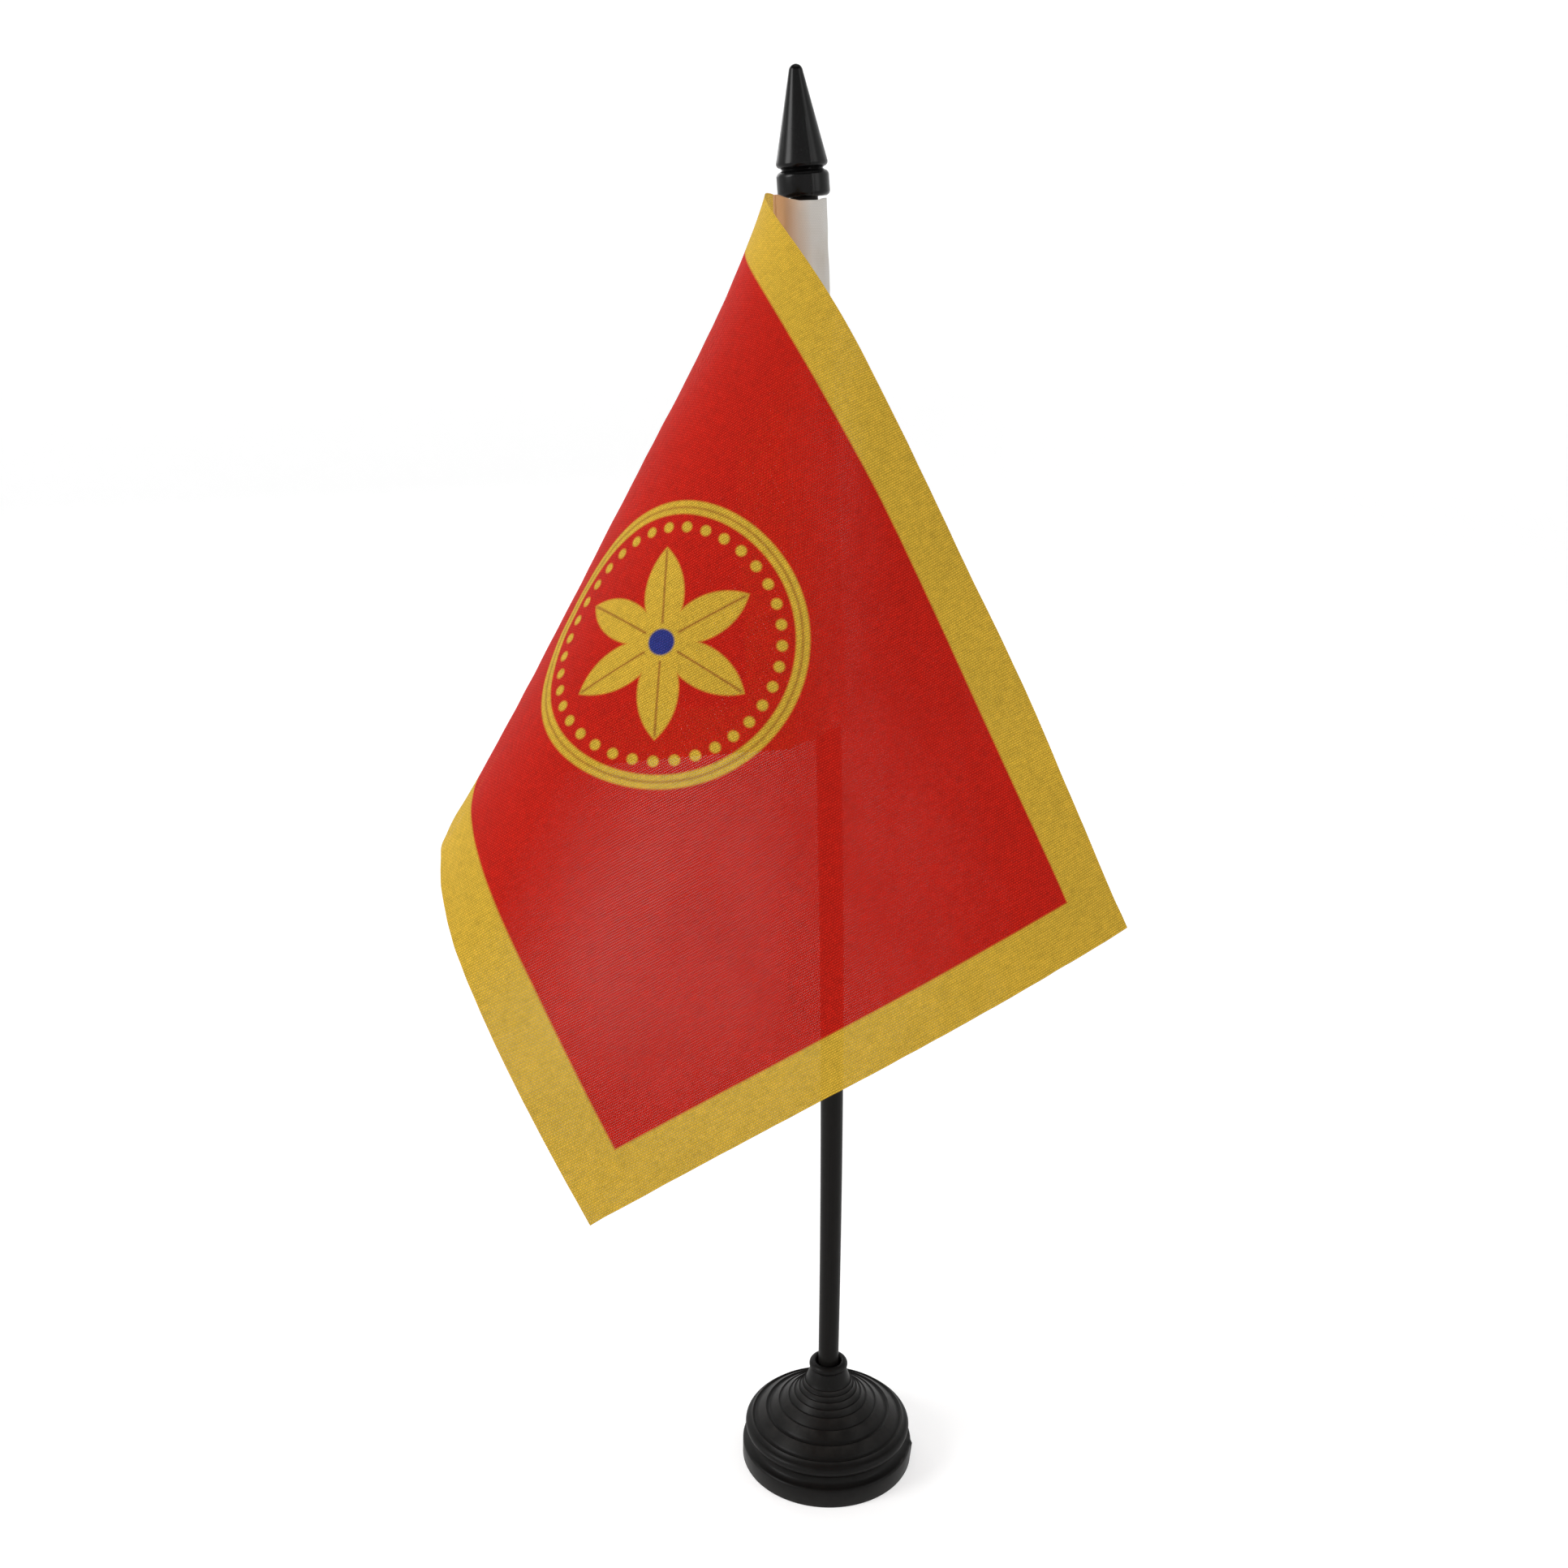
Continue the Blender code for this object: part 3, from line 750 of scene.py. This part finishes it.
def cloth_ripple(u, v):
    """Small unevenness of the hanging cloth in millimetres, with a slight flutter of its free edges."""
    broad = noise.noise(Vector((u * 9.0, v * 6.0, 0.3)))
    fine = noise.noise(Vector((u * 31.0, v * 23.0, 4.1)))
    free = max(u - 0.93, 0.0) / 0.07 + max(v - 0.94, 0.0) / 0.06
    flutter = free * noise.noise(Vector((u * 40.0, v * 26.0, 8.7)))
    held = min(u / 0.1, 1.0)
    return held * (0.35 * broad + 0.07 * fine + 0.22 * flutter)


def make_flag():
    """The printed sheet: two faces a thickness apart and the cut rim between them."""
    us = [i / FLAG_CELLS_WIDE for i in range(FLAG_CELLS_WIDE + 1)]
    vs = [j / FLAG_CELLS_HIGH for j in range(FLAG_CELLS_HIGH + 1)]
    middle = flag_points(us, vs)
    normals = flag_normals(middle)
    ripple = np.array([[cloth_ripple(u, v) for v in vs] for u in us])
    middle = middle + normals * ripple[:, :, None]
    normals = flag_normals(middle)
    front = middle + normals * (FLAG_THICKNESS / 2)
    back = middle - normals * (FLAG_THICKNESS / 2)
    wide, high = len(us), len(vs)
    vertices = np.concatenate([front.reshape(-1, 3), back.reshape(-1, 3)])
    sheet_uv = [(u, 1.0 - v) for u in us for v in vs] * 2

    def index(side, i, j):
        return side * wide * high + i * high + j

    faces = []
    for i in range(FLAG_CELLS_WIDE):
        for j in range(FLAG_CELLS_HIGH):
            faces.append([index(0, *c) for c in ((i, j), (i + 1, j), (i + 1, j + 1), (i, j + 1))])
    for i in range(FLAG_CELLS_WIDE):
        for j in range(FLAG_CELLS_HIGH):
            faces.append([index(1, *c) for c in ((i, j), (i, j + 1), (i + 1, j + 1), (i + 1, j))])
    rim = [(i, 0) for i in range(wide)] + [(wide - 1, j) for j in range(1, high)]
    rim += [(i, high - 1) for i in range(wide - 2, -1, -1)] + [(0, j) for j in range(high - 2, -1, -1)]
    for one, two in zip(rim, rim[1:]):
        faces.append([index(0, *two), index(0, *one), index(1, *one), index(1, *two)])
    mesh = bpy.data.meshes.new("flag_sheet")
    mesh.from_pydata([tuple(p) for p in vertices], [], faces)
    layer = mesh.uv_layers.new(name="Sheet")
    for loop in mesh.loops:
        layer.data[loop.index].uv = sheet_uv[loop.vertex_index]
    cells = FLAG_CELLS_WIDE * FLAG_CELLS_HIGH
    for polygon in mesh.polygons:
        polygon.material_index = 1 if cells <= polygon.index < 2 * cells else 0
    materials = [printed_cloth("flag_print_reverse", 0.05), printed_cloth("flag_print_face", 0.0)]
    piece = make_piece("flag_sheet", mesh, materials, "flag", 60.0)
    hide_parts("flag")
    return piece


# ---------------------------------------------------------------- sleeve


def swivel_axis_point(z):
    """The straight line that the sleeve turns about: the chord of the bowed stick inside it."""
    low = stick_offset(SLEEVE_BOTTOM)
    high = stick_offset(SLEEVE_TOP)
    part = (z - SLEEVE_BOTTOM) / (SLEEVE_TOP - SLEEVE_BOTTOM)
    return Vector((low + (high - low) * part, 0.0, z))


def sleeve_frame(down):
    """At one level: the sleeve's centre, its direction to the seam, its side, the seam and its reach."""
    seam = flag_point(0.0, down)
    centre = swivel_axis_point(SLEEVE_TOP + (SLEEVE_BOTTOM - SLEEVE_TOP) * down)
    forward = Vector((seam.x - centre.x, seam.y - centre.y, 0.0))
    reach = forward.length
    forward.normalize()
    return centre, forward, Vector((-forward.y, forward.x, 0.0)), seam, reach


def sleeve_loop(down, radius, end_gap, end_half_width, steps):
    """One level of the sleeve: round the stick, then softly to the seam. Its top follows the collar."""
    centre, forward, side, seam, reach = sleeve_frame(down)
    length = reach - end_gap
    tangent = math.degrees(math.acos(radius / length))
    round_part = arc((0.0, 0.0), radius, -tangent, -360 + tangent, steps)
    start, end = round_part[0], round_part[-1]
    walls = 14
    first = [(length, -end_half_width)]
    last = []
    for k in range(1, walls):
        share = k / walls
        first_across = -end_half_width + (start[1] + end_half_width) * share
        first.append((length + (start[0] - length) * share, first_across))
        last.append((end[0] + (length - end[0]) * share, end[1] + (end_half_width - end[1]) * share))
    outline = first + round_part + last + [(length, end_half_width)]
    points = []
    for along, across in outline:
        slack = min(max(along - 1.0, 0.0), max(length - along, 0.0)) / length
        sag = slack * 1.6 * noise.noise(Vector((down * 7.0, along * 0.12, 2.0 if across > 0 else 5.0)))
        push = 0.16 * noise.noise(Vector((down * 22.0, along * 0.35, across * 0.35)))
        grow = 1.0 + (min(sag, 0.3) + push - 0.12) / max(abs(across), radius * 0.5)
        to_seam = min(max((along - 5.5) / (length - 5.5), 0.0), 1.0)
        point = centre + forward * along + side * (across * grow)
        under_collar = 1.15 + math.tan(stick_lean(COLLAR_BOTTOM)) * (point.x - stick_offset(COLLAR_BOTTOM))
        near_top = max(1.0 - down / SLEEVE_END_SHARE, 0.0)
        point.z += (seam.z - centre.z) * to_seam + under_collar * (1.0 - to_seam) * near_top
        points.append(point)
    return points


def make_sleeve():
    """The hoist sleeve: a strip of white cloth folded round the stick, its edges meeting at the seam."""
    steps = 60
    walls = []
    for inset, end_gap, half_width in ((0.0, SLEEVE_SEAM_GAP, 0.45), (SLEEVE_THICKNESS, 2.2, 0.10)):
        levels = []
        for level in range(SLEEVE_LEVELS + 1):
            down = level / SLEEVE_LEVELS
            loop = sleeve_loop(down, SLEEVE_RADIUS - inset, end_gap, half_width, steps)
            wave_top = max(1.0 - down / SLEEVE_END_SHARE, 0.0)
            wave_foot = max(1.0 - (1.0 - down) / SLEEVE_END_SHARE, 0.0)
            for k, point in enumerate(loop):
                turn = k / len(loop)
                ripple = 0.45 * math.sin(math.tau * 3.0 * turn + 1.1) + 0.25 * math.sin(math.tau * 7.0 * turn)
                point.z += wave_top * (0.2 * ripple - 0.15) + wave_foot * (ripple * 0.5 + 0.4)
            levels.append(loop)
        walls.append(levels)
    measured = walls[0][SLEEVE_WIDTH_LEVEL]
    count = len(measured)
    around = np.cumsum([0.0] + [(measured[k + 1] - measured[k]).length for k in range(count - 1)])
    width = around[-1] + (measured[0] - measured[-1]).length
    vertices = [tuple(p) for levels in walls for loop in levels for p in loop]
    height = SLEEVE_TOP - SLEEVE_BOTTOM

    def index(wall, level, k):
        return (wall * (SLEEVE_LEVELS + 1) + level) * count + k % count

    faces = []
    for level in range(SLEEVE_LEVELS):
        for k in range(count):
            corners = ((level, k), (level + 1, k), (level + 1, k + 1), (level, k + 1))
            faces.append([index(0, *corner) for corner in corners])
            faces.append([index(1, *corner) for corner in corners[:1] + corners[:0:-1]])
    for k in range(count):
        faces.append([index(0, 0, k), index(0, 0, k + 1), index(1, 0, k + 1), index(1, 0, k)])
        last = SLEEVE_LEVELS
        faces.append([index(0, last, k + 1), index(0, last, k), index(1, last, k), index(1, last, k + 1)])
    mesh = bpy.data.meshes.new("sleeve_cloth")
    mesh.from_pydata(vertices, [], faces)
    bm = bmesh.new()
    bm.from_mesh(mesh)
    bmesh.ops.recalc_face_normals(bm, faces=bm.faces)
    bm.to_mesh(mesh)
    bm.free()
    layer = mesh.uv_layers.new(name="Sheet")
    for polygon in mesh.polygons:
        ks = [mesh.loops[i].vertex_index % count for i in polygon.loop_indices]
        wraps = max(ks) - min(ks) > count / 2
        for i, k in zip(polygon.loop_indices, ks):
            level = mesh.loops[i].vertex_index // count % (SLEEVE_LEVELS + 1)
            along = width if wraps and k == 0 else around[k]
            layer.data[i].uv = (along * MM, level / SLEEVE_LEVELS * height * MM)
    material = plain_cloth("sleeve_white_weave", linear(246, 244, 240), 0.26, 0.58, width)
    piece = make_piece("sleeve_cloth", mesh, [material], "flag", 55.0)
    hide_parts("sleeve")
    return piece, width


def make_stitches():
    """The lockstitches that join the flag to the sleeve: short thread loops on both sides of the seam."""
    bm = bmesh.new()
    height = SLEEVE_TOP - SLEEVE_BOTTOM
    count = int(height * 0.905 / STITCH_LENGTH)
    for side_sign in (-1.0, 1.0):
        for i in range(count):
            points = []
            for k in range(7):
                share = k / 6
                down = 0.07 + 0.905 * (i + 0.08 + 0.84 * share) / count
                _, forward, side, seam, reach = sleeve_frame(down)
                lift = 0.72 + 0.26 * math.sin(math.pi * share)
                spread = 0.45 + 1.2 * (SLEEVE_RADIUS - 0.45) / reach
                points.append(seam - forward * 1.5 + side * (side_sign * (spread * 0.75 + lift * 0.3)))
            radii = [THREAD_RADIUS * r for r in (0.6, 0.95, 1.0, 1.0, 1.0, 0.95, 0.6)]
            tube(bm, points, radii, 8)
    material = spun_thread("seam_thread_white", linear(232, 228, 218))
    piece = make_piece("seam_stitches", mesh_from(bm, "seam_stitches"), [material], "flag")
    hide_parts("seam_thread")
    return piece


# ---------------------------------------------------------------- studio


def make_camera():
    """The view from slightly above, in front and a little to the right."""
    pitch, yaw, roll = 0.322647, -0.110583, 0.0125785
    forward = Vector((math.sin(yaw) * math.cos(pitch), math.cos(yaw) * math.cos(pitch), -math.sin(pitch)))
    level = Vector((math.cos(yaw), -math.sin(yaw), 0.0))
    up = level.cross(forward)
    right = level * math.cos(roll) + up * math.sin(roll)
    top = up * math.cos(roll) - level * math.sin(roll)
    data = bpy.data.cameras.new("camera")
    data.lens = 41.70
    data.sensor_width = 36.0
    data.clip_start = 0.01
    camera = bpy.data.objects.new("camera", data)
    turn = Matrix((right, top, -forward)).transposed().to_4x4()
    camera.matrix_world = Matrix.Translation((0.02611, -0.33832, 0.27089)) @ turn
    bpy.context.scene.collection.objects.link(camera)
    bpy.context.scene.camera = camera


def make_light(name, place, size, watts, aim=(0.0, -0.03, 0.14)):
    data = bpy.data.lights.new(name, "AREA")
    data.shape = "RECTANGLE"
    data.size, data.size_y = size
    data.energy = watts
    light = bpy.data.objects.new(name, data)
    light.location = place
    light.rotation_euler = (Vector(aim) - Vector(place)).to_track_quat("-Z", "Y").to_euler()
    bpy.context.scene.collection.objects.link(light)


def make_studio():
    """A pale floor that sweeps up into a wall all round, a soft sky and four soft lights."""
    profile = [(0.0, 0.0), (0.4, 0.0), (1.3, 0.0)] + arc((1.3, 0.5), 0.5, -90, 0, 16)[1:] + [(1.8, 1.6)]
    mesh = mesh_from(turned(profile, 96), "studio_sweep")
    mesh.shade_smooth()
    recipe = Recipe("studio_paper")
    recipe.shader.inputs["Base Color"].default_value = linear(205, 205, 205)
    recipe.shader.inputs["Roughness"].default_value = 0.9
    recipe.shader.inputs["Specular IOR Level"].default_value = 0.1
    recipe.shader.inputs["Emission Color"].default_value = (1.0, 1.0, 1.0, 1.0)
    recipe.shader.inputs["Emission Strength"].default_value = 0.52
    mesh.materials.append(recipe.material)
    floor = bpy.data.objects.new("studio_sweep", mesh)
    bpy.context.scene.collection.objects.link(floor)
    world = bpy.data.worlds.new("studio_sky")
    world.use_nodes = True
    sky = world.node_tree.nodes["Background"]
    sky.inputs["Color"].default_value = (1.0, 1.0, 1.0, 1.0)
    sky.inputs["Strength"].default_value = 0.14
    bpy.context.scene.world = world
    make_light("key_left", (-1.0, -0.55, 0.65), (0.5, 0.7), 9.5)
    make_light("fill_right", (0.95, -0.35, 0.55), (0.4, 0.8), 2.0)
    make_light("back_left", (-0.55, 0.85, 0.65), (0.7, 0.7), 2.0)
    make_light("top", (0.0, 0.1, 1.25), (0.9, 0.9), 2.0)
    bpy.context.scene.view_settings.view_transform = "Standard"


make_base()
make_stick()
make_finial()
flag = make_flag()
sleeve, sleeve_width = make_sleeve()
stitches = make_stitches()
make_camera()
make_studio()
